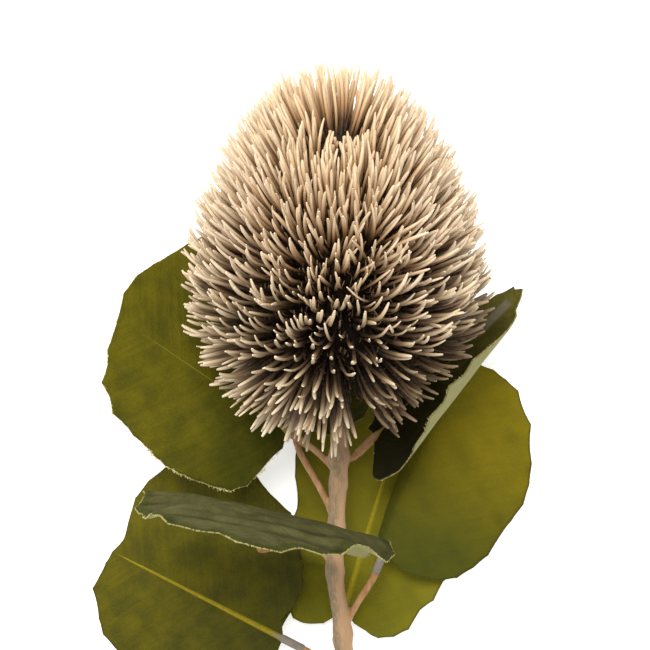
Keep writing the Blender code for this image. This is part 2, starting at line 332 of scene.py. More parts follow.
headFront = (0.0, math.sin(tilt), -math.cos(tilt))
headMiddle = tuple(placed(head["centre"]))

bristles = {
    "spans": 8,
    "sides": 5,
    "flatness": 0.62,
    "pairs": 0.30,  # share of the roots that carry two or three bristles side by side
    "thirds": 0.5,  # share of those that carry three
    "gap": 1.5,  # distance between them at their tips
    "hookTop": 32.0,  # how far a bristle leans over the core's own slope, near the head's top
    "hook": 19.0,
    "curlTop": 4.0,  # how much of that comes between its root and its tip
    "curl": 11.0,
    "curlSpread": (0.2, 1.9),
    "lengthSpread": (0.86, 1.06),
    "widthSpread": (0.78, 1.22),
    "shorter": 0.16,  # share of length that the outer ones of a pair may lose
    "sway": 0.13,  # how far the bristles of one root turn sideways, as a slope
    "ownSway": 0.12,  # how far each one does so by its tip
    "tangle": 2.5,  # how much more they sway at the right, towards the viewer
    "close": 34.0,  # how far the ones in front of the crater lean over it
    "lip": 0.22,  # share of length that those in front of the crater lose
    "thin": 0.38,  # share of the roots left out behind the crater
    "nib": 1.0,  # how far the last stretch of a bristle turns aside
    "partingTurn": -89.0,  # where the dark parting of the lower bristles lies
    "partingHalf": 0.9,
    "partingWidens": 0.04,
    "partingSlant": 0.13,
    "partingTop": 4.0,
    "partingEnd": -27.0,
    "squeeze": 0.36,  # share of length lost where the folded leaf presses, at the lower right
}
bristleZones = {
    "upper": dict(lowest=16.0, highest=80.0, spacing=1.45, width=0.68, seed=7),
    "middle": dict(lowest=-6.0, highest=16.0, spacing=1.78, width=0.69, seed=3),
    "lower": dict(lowest=-40.0, highest=-6.0, spacing=1.82, width=0.68, seed=5),
    "inner": dict(lowest=-40.0, highest=54.0, spacing=1.7, width=0.42, seed=9, length=0.40, curl=25.0,
                  sides=3, spans=4, paleness=0.62),
    "crater": dict(lowest=46.0, highest=80.0, spacing=2.3, width=0.80, seed=2, length=0.26, curl=60.0,
                   paleness=0.78, crater=-1.0),
}

# Colours from a bristle's root to its tip: stops of the ramps, and what is laid over them
bristleColours = {
    "golden": ((0.0, (0.012, 0.006, 0.003)), (0.28, (0.060, 0.028, 0.011)), (0.55, (0.40, 0.23, 0.105)),
               (0.80, (0.61, 0.43, 0.25)), (0.97, (0.69, 0.525, 0.335))),
    "cream": ((0.0, (0.012, 0.006, 0.003)), (0.34, (0.055, 0.031, 0.016)), (0.60, (0.42, 0.275, 0.155)),
              (0.80, (0.64, 0.49, 0.325)), (0.97, (0.72, 0.585, 0.42))),
    "cool": ((0.0, (0.006, 0.003, 0.0012)), (0.46, (0.026, 0.015, 0.0075)), (0.71, (0.165, 0.104, 0.056)),
             (0.87, (0.44, 0.33, 0.20)), (0.99, (0.70, 0.575, 0.40))),
    "leafShadowShare": (0.20, 0.15, 0.10),  # share of each colour left by the painted shade of the folded leaf
    "grain": (0.28, 0.18, 0.10),
    "core": ((0.006, 0.0035, 0.002), (0.030, 0.019, 0.013)),
}


def corePoint(radius, turn, height):
    # Places on the head, as arrays: distance from its axis, turn about it and height on it
    side = np.cos(turn)[..., None] * np.array((1.0, 0.0, 0.0))
    front = np.sin(turn)[..., None] * np.array(headFront)
    middle = np.array(head["centre"]) + height[..., None] * np.array(headAxis)
    return middle + radius[..., None] * (side + front)


def coreMesh(name, levels, turns, lumps, material=None):
    # An egg with a hollow near its top: rings of points, and a pole at each end
    rings, spokes = np.linspace(-90, 90, levels + 1)[1:-1], np.arange(turns) * 360 / turns
    level, turn = np.radians(np.meshgrid(rings, spokes, indexing="ij"))
    tall = np.where(level > 0, head["top"], head["bottom"])
    swell = 1.0 + lumps * np.sin(13 * turn + 9 * level) * np.sin(17 * level - 4 * turn) * np.cos(level)
    radius, height = head["radius"] * np.cos(level) * swell, tall * np.sin(level)
    off = np.hypot(radius * np.cos(turn), radius * np.sin(turn) + head["craterShift"])
    hollow = np.clip(1.0 - off / (head["craterRadius"] * 1.5), 0.0, 1.0) ** 1.5 * (level > 0)
    points = corePoint(radius, turn, height - head["craterDip"] * hollow).reshape(-1, 3)
    ends = np.array((-head["bottom"], head["top"] - 0.4 * head["craterDip"]))
    poles = corePoint(np.zeros(2), np.zeros(2), ends)
    low, high, last = len(points), len(points) + 1, (levels - 2) * turns
    faces = []
    for i in range(levels - 2):
        for k in range(turns):
            a, b = i * turns + k, i * turns + (k + 1) % turns
            faces.append((a, b, b + turns, a + turns))
    for k in range(turns):
        n = (k + 1) % turns
        faces.append((low, n, k))
        faces.append((high, last + k, last + n))
    return squared(addMesh(name, np.vstack((points, poles)), faces, material))


def bristlePlastic():
    # Dark roots and pale tips: golden in the middle, cream at the sides and cool low down
    material, g, shader = newFinish("bristlePlastic", {"Roughness": 0.5, "Specular IOR Level": 0.3})
    where = surfacePlace(g)
    away = where - tuple(v / mm for v in headMiddle)
    height, right = dot(away, headAxis), dot(away, (1.0, 0.0, 0.0))
    apart = attribute(g, "shade") - 0.5
    reach = attribute(g, "pale") + apart * 0.18 + g.ease(height, 24.0, 48.0) * 0.13
    golden, cream, cool = (
        g.add("ShaderNodeValToRGB", {"stops": bristleColours[key]}, {"Fac": reach})
        for key in ("golden", "cream", "cool"))
    colour = g.blend(g.ease(abs(right) + apart * 16, 6.0, 36.0), golden, cream)
    colour = g.blend(g.ease(height + apart * 22, -2.0, 36.0), cool, colour)
    # Painted shade: the folded leaf's shadow darkens the bristles at the lower right of the head
    leafShadowed = g.ease(dot(away, (0.62, -0.75, -0.2)) + apart * 6, 26.0, 34.0, 0.0, 0.85)
    leafShadowed = leafShadowed * g.ease(right, 8.0, 16.0)
    colour = g.blend(leafShadowed, colour, colour * bristleColours["leafShadowShare"])
    grain = (g.noise(where, 0.9, 3.0) - 0.5) * 0.5 + 0.06
    g.feed(shader.inputs["Base Color"], g.blend(grain, colour, bristleColours["grain"]))
    return material


def corePlastic():
    material, g, shader = newFinish("corePlastic", {"Roughness": 0.8, "Specular IOR Level": 0.15})
    mottle = g.noise(surfacePlace(g), 0.35, 4.0)
    g.feed(shader.inputs["Base Color"], g.blend(mottle, *bristleColours["core"]))
    return material


def bareSpots(g, ins, spot):
    # Where no bristle grows: past its zone's ends and the seat, in the crater and along the parting
    h, b = head, bristles
    level, outward = fromBentAxis(g, spot)
    bare = (level < ins.out("Lowest")) + (level > ins.out("Highest"))
    bare = bare + (level < h["bottom"] * math.sin(math.radians(h["seat"])))
    away = spot - headMiddle
    aside = away - headAxis * (level * mm) + Vector(headFront) * (h["craterShift"] * mm)
    inside = (maths("LENGTH", aside) < h["craterRadius"] * mm) * (level > h["craterFrom"])
    bare = bare + ((inside - 0.5) * ins.out("Crater") > 0.0)
    behind = g.ease(dot(maths("NORMALIZE", outward), headFront), 0.2, 0.8) * g.ease(level, 10.0, 36.0)
    bare = bare + (chance(g, g.add("GeometryNodeInputIndex"), 10) < behind * b["thin"])
    parting = math.radians(b["partingTurn"])
    across = -math.sin(parting) * Vector((1, 0, 0)) + math.cos(parting) * Vector(headFront)
    facing = math.cos(parting) * Vector((1, 0, 0)) + math.sin(parting) * Vector(headFront)
    beside = dot(away, tuple(across)) / mm + (level - b["partingTop"]) * b["partingSlant"]
    parted = abs(beside) < b["partingHalf"] + (b["partingTop"] - level) * b["partingWidens"]
    parted = parted * (level < b["partingTop"]) * (level > b["partingEnd"])
    parted = parted * (dot(away, tuple(facing)) > 0.0)
    return bare + parted * (ins.out("Length") > 0.5)


def bristleTree():
    # Scatters roots over the core, and grows one to three bristles on each
    h, b = head, bristles
    g, ins = newGeometryTree("bristles", [
        ("Lowest", "Float", 0.0),
        ("Highest", "Float", 1.0),
        ("Spacing", "Float", 0.002),
        ("Width", "Float", 0.001),
        ("Flatness", "Float", b["flatness"]),
        ("Curl", "Float", b["curl"]),
        ("Pairs", "Float", b["pairs"]),
        ("Gap", "Float", b["gap"] * mm),
        ("Length", "Float", 1.0),
        ("Paleness", "Float", 1.0),
        ("Crater", "Float", 1.0),  # 1 keeps the crater bare, and -1 fills it alone
        ("Spans", "Int", b["spans"]),
        ("Sides", "Int", b["sides"]),
        ("Seed", "Int", 1),
        ("Finish", "Material", None),
    ])
    scatter = g.add("GeometryNodeDistributePointsOnFaces", {"distribute_method": "POISSON"},
                    {"Mesh": ins.out("Geometry"), "Distance Min": ins.out("Spacing"),
                     "Density Max": 4e5, "Seed": ins.out("Seed")})
    spot = g.add("GeometryNodeInputPosition")
    roots = g.add("GeometryNodeDeleteGeometry", {"domain": "POINT"},
                  {"Geometry": scatter, "Selection": bareSpots(g, ins, spot)})
    roots = stored(g, roots, "cluster", g.add("GeometryNodeInputIndex"), "INT")
    group = field(g, "cluster", "INT")
    extra, third = chance(g, group, 11) < ins.out("Pairs"), chance(g, group, 12) < b["thirds"]
    copies = g.add("GeometryNodeDuplicateElements", {"domain": "POINT"},
                   {"Geometry": roots, "Amount": 1 + extra * (1 + third)})
    roots = stored(g, copies, "copy", copies.out("Duplicate Index"), "INT")
    roots = stored(g, roots, "bristle", g.add("GeometryNodeInputIndex"), "INT")
    roots = stored(g, roots, "root", spot, "FLOAT_VECTOR")
    curves = strands(g, roots, ins.out("Spans") + 1)
    curves = stored(g, curves, "along", 1 - (1 - g.add("GeometryNodeSplineParameter")) ** 1.6)
    reach = field(g, "along")

    # Directions at the root, as for the frame's florets
    root = field(g, "root", "FLOAT_VECTOR")
    number, copy = field(g, "bristle", "INT"), field(g, "copy", "INT")
    height, outward = fromBentAxis(g, root)
    radius = maths("LENGTH", outward) / mm
    outward = maths("NORMALIZE", outward)
    sideways = maths("CROSS_PRODUCT", headAxis, outward)
    tall = h["bottom"] ** 2 + (h["top"] ** 2 - h["bottom"] ** 2) * (height > 0.0)
    lift = maths("ARCTAN2", height / tall, radius / h["radius"] ** 2)
    level = cosine(lift) ** 2
    upper = g.ease(height, 4.0, 30.0)
    hook = math.radians(1) * (b["hook"] + (b["hookTop"] - b["hook"]) * upper)
    lean = maths("MAXIMUM", lift + hook * level, math.radians(h["lowest"]))
    towardsViewer = maths("MAXIMUM", -1 * dot(outward, headFront), 0.0)
    closed = g.ease(height, 22.0, 44.0) * towardsViewer ** 1.5 * math.radians(b["close"])
    right = dot(outward, (1.0, 0.0, 0.0))
    tangle = g.ease(right, 0.0, 0.6) * g.ease(abs(height - 12), 26.0, 6.0) * towardsViewer
    tipLean = lean + math.radians(h["tipBend"]) * level + closed
    tipLean = tipLean + chance(g, group, 21, -0.08, 0.08) * (1 + tangle * 3)
    curl = math.radians(1) * (ins.out("Curl") + (b["curlTop"] - ins.out("Curl")) * upper)
    curl = curl * level * chance(g, number, 22, *b["curlSpread"]) + chance(g, number, 23, -0.10, 0.10)
    lean = tipLean - curl * (1 - reach ** 2.4)

    # Length, shorter under the head and for the outer bristles of a pair
    towardsTop = maths("MAXIMUM", height / h["top"], 0.0)
    length = h["length"] + (h["topLength"] - h["length"]) * towardsTop ** 1.5
    down = dot(outward, (0.0, 0.0, -1.0)) * cosine(lean) + sine(lean) * -headAxis[2]
    short = 1 - (1 - h["underHead"]) * maths("MAXIMUM", down, 0.0) ** 1.5
    length = length * short * chance(g, number, 24, *b["lengthSpread"])
    length = length * (1 - copy * chance(g, number, 25, 0.0, b["shorter"]))
    squeezed = g.ease(right, 0.50, 0.90) * g.ease(height, -11.0, -19.0)
    length = length * ins.out("Length") * (1 - squeezed * b["squeeze"])
    length = length * (1 - g.ease(height, 26.0, 40.0) * towardsViewer * b["lip"])

    # Places along the bristle: its run, its distance from its neighbours and its bent nib
    sway = chance(g, group, 26, -b["sway"], b["sway"])
    sway = sway + reach * chance(g, number, 27, -b["ownSway"], b["ownSway"])
    run = outward * cosine(lean) + headAxis * sine(lean) + sideways * (sway * (1 + tangle * b["tangle"]))
    angle = chance(g, group, 28, -1.2, 1.2)
    beside = sideways * cosine(angle) + headAxis * sine(angle)
    apart = copy * ins.out("Gap") * (0.35 + 0.75 * reach)
    place = root + run * (length * mm * reach) + beside * apart
    turned = g.ease(reach, 0.76, 1.0) * g.ease(chance(g, number, 33), 0.35, 0.9) * (1 - upper * 0.7)
    nib = headAxis * chance(g, number, 34, -0.3, 1.0) + sideways * chance(g, number, 35, -0.8, 0.8)
    place = place + nib * (turned * ins.out("Length") * (b["nib"] * mm))
    split = g.add("ShaderNodeSeparateXYZ", None, {"Vector": place})
    pressed = g.add("ShaderNodeMapRange", {"clamp": True}, {
        "Value": split.out("Z"), "From Min": -12 * mm, "From Max": h["pressedFrom"] * mm,
        "To Min": h["pressedTo"] * mm, "To Max": h["pressedFrom"] * mm})
    place = g.add("ShaderNodeCombineXYZ", None, {"X": split.out("X"), "Y": split.out("Y"),
                                                 "Z": maths("MAXIMUM", split.out("Z"), pressed)})
    curves = g.add("GeometryNodeSetPosition", None, {"Geometry": curves, "Position": place})
    twist = chance(g, number, 29, -0.9, 0.9)
    curves = g.add("GeometryNodeSetCurveTilt", None, {"Curve": curves, "Tilt": twist})
    curves = stored(g, curves, "shade", chance(g, number, 30))
    curves = stored(g, curves, "pale", reach * ins.out("Paleness"))
    pointed = 0.10 + 0.42 * upper * chance(g, number, 31)
    taper = (0.78 + 0.34 * reach) * (1 - reach ** 4 * pointed) * (1 - reach ** 18 * 0.5)
    width = ins.out("Width") * taper * chance(g, number, 32, *b["widthSpread"])
    finishTree(g, sweep(g, curves, width, ins.out("Sides"), ins.out("Flatness")), ins.out("Finish"))
    return g.tree


def fromBentAxis(g, spot):
    # Height on the head's axis, and the way out from it; near the top the axis bends to the crater
    away = spot - headMiddle
    height = dot(away, headAxis) / mm
    bent = g.ease(height, 18.0, 50.0) * (head["axisShift"] * mm)
    return height, away - headAxis * (height * mm) + headFront * bent


def makeHead():
    core = coreMesh("headCore", 48, 72, 0.012, corePlastic())
    handOver(core, ["flower_head"], "floret_cream")
    tree, plastic = bristleTree(), bristlePlastic()
    for zone, own in bristleZones.items():
        dials = {key.title(): value for key, value in own.items()}
        dials.update(Spacing=own["spacing"] * mm, Width=own["width"] * mm, Finish=plastic)
        piece = grown(zone + "Bristles", coreMesh("bristleRoots", 40, 60, 0.0), tree, dials)
        handOver(piece, ["flower_head"], "floret_cream")


# Leaves: fabric blades with a printed rib and cut edges

blade = {
    "thickness": 0.5,
    "frameThickness": 0.8,  # that of the frame's own leaves
    "crease": 3.0,  # width at the rib over which a half turns to its fold
    "teeth": 10,
    "toothDepth": 0.034,
    "notch": 0.13,
    "fullHalf": 30.0,
    "rows": 160,
    "columns": 26,
    "ribCrowding": 1.4,  # power that gathers the points of the rib near the notch
    "settle": 0.4,  # how softly a blade comes to lie on what is under it
    "ribReach": 0.86,  # share of the leaf's length over which its rib is raised
    "ribRaise": 0.1,
    "sleeveLength": 8.0,
    "sleeveRadius": 1.45,
    "sleeveMouth": 1.35,
}
onTable = blade["frameThickness"] / 2

# Each leaf's place, turn, size and bend. A half is its width, its fold at the rib and its curl from
# there to its edge. A wave is its height, how many there are and where they start. The joint is
# where on the stem its petiole leaves, and rest the height that it doesn't sink below. The edges
# say how far a margin stands out of the plain outline, in equal steps from the notch to the tip.
# Creases are a patch's place and half width across the blade, the same along it, their height and
# how far apart they are.
leaves = {
    "leaf_upper_left": dict(
        base=(-16.4, -47.5, 23.5), heading=146, pitch=6, roll=8, length=70, lobe=3, bend=6, twist=-14,
        left=(38, 8, 8), right=(48, -32, -4), wave=(1.2, 3, 20), joint=-67, rest=6.0,
        leftEdge=(0.0, 1.6, -1.1, 1.3, 2.2, 3.5, -0.6, -1.0, -3.8, -3.3, -5.8, -5.3, -6.1, -4.3, -3.3, -2.6,
                  -1.6, -1.9, -2.0, -0.6, -0.5),
        rightEdge=(0.0, 0.0, 0.0, 0.0, 0.0, 0.0, 0.0, 0.0, 0.0, 0.0, 0.0, 1.0, 3.0, 5.0, 6.8, 5.9, 2.9, 4.3,
                   3.5, 4.0, -0.5)),
    "leaf_under_head_left": dict(
        base=(-14.5, -45.6, 10.5), heading=101, pitch=-30, roll=0, length=79, lobe=11, bend=14, twist=0,
        left=(38, 0, 0), right=(41, 0, 0), wave=(0.0, 3, 0), joint=-83, rest=onTable),
    "leaf_under_head_right": dict(
        base=(-1.5, -15.0, 4.2), heading=76, pitch=-8, roll=0, length=75, lobe=3, bend=14, twist=0,
        left=(38, 0, 0), right=(38, 0, 4), wave=(0.0, 3, 0), joint=-58, rest=1.6),
    "leaf_folded_right": dict(
        base=(12.8, -49.5, 18.5), heading=45, pitch=2, roll=-3, length=69.5, lobe=13, bend=12, twist=-24,
        left=(14, -45, 30), right=(38, 38, 74), wave=(0.8, 5, 0), joint=-58, rest=onTable,
        leftEdge=(0.0, -2.0, -4.0, -5.0, -4.5, -3.5, -2.5, -1.5, -0.5, 0.0, 0.0, 0.0, 0.0, 0.0, 0.0, 0.0, 0.4,
                  1.0, 1.6, 1.4, 2.0),
        rightEdge=(0.0, 0.0, 0.0, 1.4, -1.2, 1.2, -1.6, 2.8, -1.5, 2.4, -2.4, 2.6, -2.2, 1.6, -1.1, -0.6,
                   -1.6, -2.2, -2.6, -1.8, 2.0)),
    "leaf_right": dict(
        base=(16.2, -88.9, 15.0), heading=67, pitch=-3, roll=0, length=76, lobe=8, bend=2, twist=0,
        left=(10, -60, -25), right=(36, -12, -4), wave=(0.9, 4, 60), joint=-119, rest=onTable,
        leftEdge=(0.0, 0.0, 0.0, 0.0, 0.0, 0.0, 0.0, 0.0, 0.0, 0.0, -1.5),
        rightEdge=(0.0, 0.0, -1.9, 0.7, 1.9, 4.8, 3.4, 4.8, 1.9, 3.5, 3.4, 4.2, 2.3, 2.3, 1.9, 1.6, 0.9,
                   0.5, -2.1, -2.3, -1.5)),
    "leaf_behind_stem": dict(
        base=(2.6, -110.0, 5.0), heading=73, pitch=-3, roll=-2, length=76, lobe=10, bend=2, twist=0,
        left=(34, 0, -2), right=(31, 0, 0), wave=(0.4, 4, 40), joint=-128, rest=onTable,
        leftEdge=(0.0, 3.0, 1.1, 3.7, 1.1, -0.6, -3.9, -4.6, -6.5, -7.0, -6.9, -2.7, -0.7, 4.0, 5.0, 4.5,
                  3.5, 2.5, 1.5, 0.5, 0.0),
        rightEdge=(0.0, 0.0, -2.6, 1.6, 1.9, 3.8, -0.2, 2.5, 0.3, 4.2, 2.0, 1.0, 0.0, 0.0, 0.0, 0.0, 0.0,
                   0.0, 0.0, 0.0, 0.0)),
    "leaf_front": dict(
        base=(-25.0, -82.5, 25.0), heading=-102, pitch=123, roll=0, length=74, lobe=3, bend=-62, twist=0,
        left=(44, 0, -16), right=(44, 0, -19), wave=(3.6, 7.3, 46), joint=-97, rest=onTable,
        petioleEase=0.62,
        leftEdge=(0.0, 0.0, 0.0, 0.0, 0.0, 0.0, 0.0, 0.0, 0.0, 0.0, 0.0, 0.0, -1.0, -2.5, -3.0, -1.3, -0.8,
                  0.8, -2.4, 3.2, 1.6),
        rightEdge=(0.0, 0.0, 0.0, 0.0, 0.0, 0.0, 0.0, -0.4, -1.2, -2.2, -2.6, -1.6, 0.3, 1.4, 2.4, 5.4, 5.6,
                   3.3, -1.2, 2.6, 1.6),
        creases=((-22, 17, 50, 15, 1.3, 5.0), (14, 18, 58, 9, 0.8, 8.0))),
    "leaf_lower_left": dict(
        base=(-18.3, -119.0, 10.0), heading=153.5, pitch=-6, roll=0, length=72, lobe=4, bend=2, twist=0,
        left=(34, -10, -14), right=(45, 2, 0), wave=(1.0, 4, 30), joint=-142, rest=onTable,
        leftEdge=(0.0, 0.0, 0.0, 0.0, 0.0, 0.0, 0.0, 0.0, 0.0, 0.0, 0.0, 0.0, 1.0, 1.9, 1.2, 1.0, -1.5, 0.3,
                  -3.8, -3.7, -5.8),
        rightEdge=(0.0, -4.1, -3.2, -0.6, -1.8, -0.5, -1.2, 1.2, -1.4, 0.5, 1.3, 3.3, 1.8, 3.3, 2.3, 4.4,
                   1.5, 0.7, -4.6, -5.8, -5.8)),
}

# Finish of each leaf: the colours of its print and rib, its darker base, partly tint and partly
# painted shade near the head, and how far along the leaf that fades out, its side veins, pale edge
# and loose threads. A sheen is a painted highlight, a pale strip by the rib: where it starts and
# ends, and its width. plainPrint is what a leaf has that says nothing else.
tan = ((0.27, 0.125, 0.045), (0.43, 0.26, 0.13))
grey = ((0.10, 0.085, 0.065), (0.26, 0.22, 0.18))
plainPrint = dict(
    veins=0.05, veinGap=9.0, edge=0.1, fray=0.35, clumps=0.15, thread=0.09, frayed=None, band=0.0,
    sheen=None, sleeve=grey)
shadedPrint = dict(
    light=(0.095, 0.080, 0.008), dark=(0.050, 0.048, 0.005), rib=(0.17, 0.14, 0.01), ribWidth=0.45,
    ribShown=0.8, edge=0.2, fray=0.5, clumps=0.2, baseTintAndShade=(0.60, 0.65, 0.60), baseTintAndShadeEnd=0.5)
prints = {
    "leaf_upper_left": dict(
        light=(0.100, 0.084, 0.002), dark=(0.054, 0.051, 0.002), rib=(0.17, 0.14, 0.008), ribWidth=0.36,
        ribShown=0.6, edge=0.5, fray=1.2, clumps=1.0, thread=0.17, frayed=(1, 0.06, 0.56),
        baseTintAndShade=(0.50, 0.58, 0.50), baseTintAndShadeEnd=0.55, sleeve=tan),
    "leaf_under_head_left": dict(shadedPrint, sleeve=tan),
    "leaf_under_head_right": shadedPrint,
    "leaf_folded_right": dict(
        light=(0.110, 0.095, 0.014), dark=(0.060, 0.054, 0.005), rib=(0.14, 0.12, 0.01), ribWidth=0.45,
        ribShown=0.2, veins=0.08, edge=0.25, fray=1.0, clumps=0.6, sheen=(0.68, 0.96, 2.4),
        baseTintAndShade=(0.12, 0.12, 0.10), baseTintAndShadeEnd=1.15, sleeve=tan),
    "leaf_right": dict(
        light=(0.158, 0.121, 0.002), dark=(0.122, 0.100, 0.003), rib=(0.070, 0.064, 0.006), ribWidth=0.12,
        ribShown=0.1, veins=0.06, veinGap=11.0, baseTintAndShade=(0.36, 0.48, 1.5), baseTintAndShadeEnd=0.70),
    "leaf_behind_stem": dict(
        light=(0.160, 0.137, 0.006), dark=(0.128, 0.116, 0.008), rib=(0.33, 0.26, 0.008), ribWidth=1.0,
        ribShown=1.0, baseTintAndShade=(0.95, 1.0, 1.0), baseTintAndShadeEnd=0.5),
    "leaf_front": dict(
        light=(0.079, 0.073, 0.026), dark=(0.040, 0.040, 0.011), rib=(0.095, 0.090, 0.036), ribWidth=0.35,
        ribShown=0.3, edge=0.42, fray=0.8, clumps=0.6, band=0.8, baseTintAndShade=(0.9, 0.9, 0.9), baseTintAndShadeEnd=0.5),
    "leaf_lower_left": dict(
        light=(0.094, 0.080, 0.003), dark=(0.050, 0.047, 0.004), rib=(0.32, 0.24, 0.008), ribWidth=0.85,
        ribShown=1.0, baseTintAndShade=(0.58, 0.62, 0.85), baseTintAndShadeEnd=0.75),
}
cloth = {
    "weave": 0.72,  # distance between its threads
    "below": ((0.21, 0.195, 0.075), (0.29, 0.275, 0.125)),
    "belowRib": (0.34, 0.32, 0.15),
    "hollow": (0.35, 0.36, 0.30),  # share of the colour left in a crease, as painted shade
    "band": (0.55, 0.66, 0.30),  # and in the dark band inside a margin
    "sheen": (0.17, 0.155, 0.115),
    "besideCut": (0.030, 0.026, 0.003),
    "cut": (0.58, 0.50, 0.17),
    "threads": ((0.34, 0.29, 0.06), (0.80, 0.72, 0.42)),
}


def printOf(name):
    return {**plainPrint, **prints[name]}


def arcRun(length, start, rate):
    # End of a run that sets off at an angle and turns at a steady rate
    if abs(rate) < 1e-6:
        return length * math.cos(start), length * math.sin(start)
    end = start + rate * length
    return (np.sin(end) - math.sin(start)) / rate, (math.cos(start) - np.cos(end)) / rate


def leafTurn(leaf):
    heading = Matrix.Rotation(math.radians(leaf["heading"]), 3, "Z")
    pitch = Matrix.Rotation(math.radians(-leaf["pitch"]), 3, "Y")
    return np.array(heading @ pitch @ Matrix.Rotation(math.radians(leaf["roll"]), 3, "X"))


def halfOf(leaf, side):
    width, fold, curl = leaf["left"] if side > 0 else leaf["right"]
    return width, math.radians(fold), math.radians(curl)


def margin(leaf, u, side):
    # Flat outline of a half from the notch (u = 0) to the tip (u = 1)
    width = halfOf(leaf, side)[0]
    length, lobe = leaf["length"], leaf["lobe"] * min(1.0, width / blade["fullHalf"])
    angle = np.pi * (1.0 - u)
    scallop = 1.0 - blade["toothDepth"] * np.abs(np.sin(np.pi * u * blade["teeth"]))
    notch = lobe * np.maximum(0.0, 1.0 - u / blade["notch"]) ** 1.5
    x = (length - lobe) / 2 + (length + lobe) / 2 * np.cos(angle) * scallop + notch
    y = side * width * np.sin(angle) * scallop
    steps = leaf.get("leftEdge" if side > 0 else "rightEdge", (0.0, 0.0))
    out = np.interp(u * (len(steps) - 1), np.arange(len(steps)), steps)
    far = np.hypot(x - length / 2, y)
    return x + out * (x - length / 2) / far, y + out * y / far


def ripples(leaf, x, y, width):
    # Small swells of the cloth, larger near its margin, and the creases that a leaf names
    phase = leaf["heading"]
    share = np.abs(y) / width
    swell = 0.16 * np.sin(x / 3.1 + phase) * np.sin(y / 4.3 + phase)
    swell = swell + 0.10 * np.sin(x / 1.9 - y / 2.7 + phase)
    swell = swell * (0.5 + share) + 0.25 * share ** 3 * np.sin(x / 2.6 + y / 3.4 + phase)
    for across, over, ahead, reach, tall, gap in leaf.get("creases", ()):
        near = np.exp(-((y - across) / over) ** 4 - ((x - ahead) / reach) ** 4)
        slope = 0.05 * (y - across)
        swell = swell + tall * near * np.sin(math.tau * (x - ahead + slope) / gap)
    return swell


def bladePoint(leaf, x, y, side):
    # Middle of the blade's thickness over points of a half's flat outline
    width, fold, curl = halfOf(leaf, side)
    bend = math.radians(leaf["bend"]) / leaf["length"]
    along, rise = arcRun(x, 0.0, bend)
    away = np.abs(y)
    crease = blade["crease"]
    nearSide, nearUp = arcRun(np.minimum(away, crease), 0.0, fold / crease)
    farSide, farUp = arcRun(np.maximum(away - crease, 0.0), fold, curl / width)
    over, up = side * (nearSide + farSide), nearUp + farUp
    height, count, shift = leaf["wave"]
    around = np.arctan2(y, x - leaf["length"] / 2)
    up = up + height * (y / width) ** 2 * np.sin(count * around + math.radians(shift))
    up = up + ripples(leaf, x, y, width)
    twist = math.radians(leaf["twist"]) * x / leaf["length"]
    over, up = over * np.cos(twist) - up * np.sin(twist), over * np.sin(twist) + up * np.cos(twist)
    local = np.stack((along - up * np.sin(bend * x), over, rise + up * np.cos(bend * x)), axis=-1)
    points = np.array(leaf["base"]) + local @ leafTurn(leaf).T
    rest = leaf["rest"] - (blade["frameThickness"] - blade["thickness"]) / 2
    drop = points[..., 2] - rest
    points[..., 2] = rest + (drop + np.sqrt(drop ** 2 + blade["settle"])) / 2
    return points


def bladeNormal(leaf, x, y, side):
    step = 0.2
    y = np.where(np.abs(y) < step, side * step, y)
    ahead = bladePoint(leaf, x + step, y, side) - bladePoint(leaf, x - step, y, side)
    beside = bladePoint(leaf, x, y + step, side) - bladePoint(leaf, x, y - step, side)
    normal = np.cross(ahead, beside)
    return normal / np.maximum(np.linalg.norm(normal, axis=-1, keepdims=True), 1e-9)


def addBlade(name, leaf, material):
    # Both faces of the blade and the wall round its rim, as one closed shell
    rows, columns, half = blade["rows"], blade["columns"], blade["thickness"] / 2
    u, v = np.meshgrid(np.linspace(0, 1, rows + 1), np.linspace(0, 1, columns + 1), indexing="ij")
    points, faces, flat, rim, under, hollow = [], [], [], [], [], []
    size = (rows + 1) * (columns + 1)
    cell = np.arange(size).reshape(rows + 1, columns + 1)
    for side in (1, -1):
        edgeX, edgeY = margin(leaf, u, side)
        ribX = edgeX[-1, 0] * u ** blade["ribCrowding"]
        x, y = ribX + (edgeX - ribX) * v, edgeY * v
        middle, normal = bladePoint(leaf, x, y, side), bladeNormal(leaf, x, y, side)
        inset = np.hypot(edgeX - x, edgeY - y)
        for face in (1, -1):
            first = len(points) * size
            points.append((middle + face * half * normal).reshape(-1, 3))
            flat.append(np.stack((x, y), axis=-1).reshape(-1, 2))
            rim.append(inset.reshape(-1))
            under.append(np.full(size, float(face < 0)))
            hollow.append(ripples(leaf, x, y, halfOf(leaf, side)[0]).reshape(-1))
            a, b = cell[:-1, :-1] + first, cell[1:, :-1] + first
            c, d = cell[1:, 1:] + first, cell[:-1, 1:] + first
            faces.append(np.stack((a, b, c, d), axis=-1).reshape(-1, 4)[:, ::side * face])
        upper, lower = cell[:, -1] + (len(points) - 2) * size, cell[:, -1] + (len(points) - 1) * size
        wall = np.stack((upper[:-1], upper[1:], lower[1:], lower[:-1]), axis=-1)
        faces.append(wall[:, ::side])
    piece = addMesh(name, np.vstack(points), np.vstack(faces), material)
    mesh = piece.data
    setField(mesh, "rim", np.concatenate(rim))
    setField(mesh, "under", np.concatenate(under))
    setField(mesh, "hollow", np.concatenate(hollow))
    flat = np.vstack(flat)
    corners = np.zeros(len(mesh.loops), np.int32)
    mesh.loops.foreach_get("vertex_index", corners)
    mesh.uv_layers.new(name="cut").data.foreach_set("uv", flat[corners].astype(np.float32).ravel())
    return squared(piece, 0.01 * mm)


